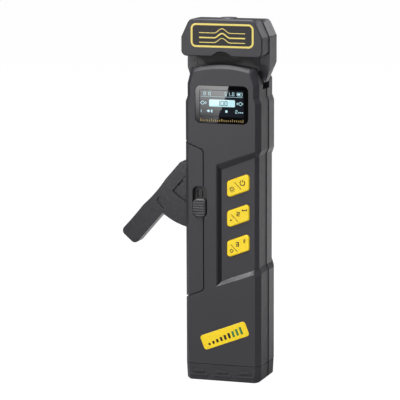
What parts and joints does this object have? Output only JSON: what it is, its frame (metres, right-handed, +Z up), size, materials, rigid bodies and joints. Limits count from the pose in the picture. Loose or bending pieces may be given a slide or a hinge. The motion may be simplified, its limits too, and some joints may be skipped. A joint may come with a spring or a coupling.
{
  "type": "optical fiber identifier",
  "caption": "Hand-held optical fibre identifier: slotted bending head on a hooked neck, squeeze trigger that lifts an anvil, small display and slanted keys.",
  "frame": {"origin": "centre of the flat foot under the end cap", "axes": "+Z up along the case towards the head, -Y out of the front face, +X to the right seen from the front"},
  "size_m": [0.0846, 0.0292, 0.2],
  "materials": {
    "case_plastic": "fine moulded texture, dark charcoal",
    "trigger_plastic": "fine moulded texture, dark charcoal",
    "slider_plastic": "ribbed, charcoal",
    "slot_plastic": "smooth, near black",
    "jaw_plastic": "smooth, black",
    "key_yellow": "satin yellow",
    "window_black": "polished black",
    "display_dark": "polished, near black",
    "lens_smoke": "satin smoke grey",
    "lamp_clear": "clear resin",
    "mat_rubber": "matt silicone",
    "board_green": "solder mask",
    "cell_wrap": "shrink sleeve",
    "laser_brass": "turned",
    "port_steel": "turned",
    "pin_steel": "ground",
    "spring_steel": "drawn wire",
    "screw_steel": "black oxide",
    "detector_can": "plated can"
  },
  "bodies": {
    "housing": {"front_shell": "case_plastic", "rear_shell": "case_plastic", "side_panel": "case_plastic", "head_frame": "case_plastic", "head_cover": "case_plastic", "slot_liner": "slot_plastic", "jaw_block": "jaw_plastic", "rack_guide": "slot_plastic", "tail_block": "slot_plastic", "detector_left": "detector_can", "detector_right": "detector_can", "head_board": "board_green", "main_board": "board_green", "lamp_lens": "lens_smoke", "lamp_led": "lamp_clear", "trigger_pin": "pin_steel", "trigger_spring": "spring_steel", "key_mat": "mat_rubber", "display_window": "window_black", "display_module": "display_dark", "battery_cell": "cell_wrap", "laser_module": "laser_brass", "laser_port": "port_steel", "usb_socket": "port_steel", "case_screws": "screw_steel", "head_screws": "screw_steel"},
    "trigger": {"trigger_lever": "trigger_plastic"},
    "lift": {"lift_rack": "jaw_plastic", "anvil": "jaw_plastic"},
    "lock": {"lock_slider": "slider_plastic"},
    "top_key": {"key_top": "key_yellow"},
    "middle_key": {"key_middle": "key_yellow"},
    "bottom_key": {"key_bottom": "key_yellow"},
    "cap": {"end_cap": "case_plastic"}
  },
  "joints": [
    {"name": "trigger_squeeze", "type": "hinge", "parent": "housing", "child": "trigger", "pos_m": [-0.014, 0, 0.12], "axis": [0, -1, 0], "range_deg": [0, 41.2], "stiffness_Nm_per_rad": 0.15, "springref_deg": -20.05},
    {"name": "anvil_lift", "type": "slide", "parent": "housing", "child": "lift", "axis": [0, 0, 1], "range_m": [0, 0.00864]},
    {"name": "lock_slide", "type": "slide", "parent": "housing", "child": "lock", "axis": [0, 0, 1], "range_m": [0, 0.0068]},
    {"name": "top_key_press", "type": "slide", "parent": "housing", "child": "top_key", "axis": [0, 1, 0], "range_m": [0, 0.0007], "stiffness_N_per_m": 800, "springref_m": -0.0006},
    {"name": "middle_key_press", "type": "slide", "parent": "housing", "child": "middle_key", "axis": [0, 1, 0], "range_m": [0, 0.0007], "stiffness_N_per_m": 800, "springref_m": -0.0006},
    {"name": "bottom_key_press", "type": "slide", "parent": "housing", "child": "bottom_key", "axis": [0, 1, 0], "range_m": [0, 0.0007], "stiffness_N_per_m": 800, "springref_m": -0.0006},
    {"name": "cap_pull", "type": "slide", "parent": "housing", "child": "cap", "axis": [0, 0, -1], "range_m": [0, 0.01]}
  ],
  "couplings": [
    {"joint": "anvil_lift", "follows": "trigger_squeeze", "m_per_rad": 0.012}
  ]
}
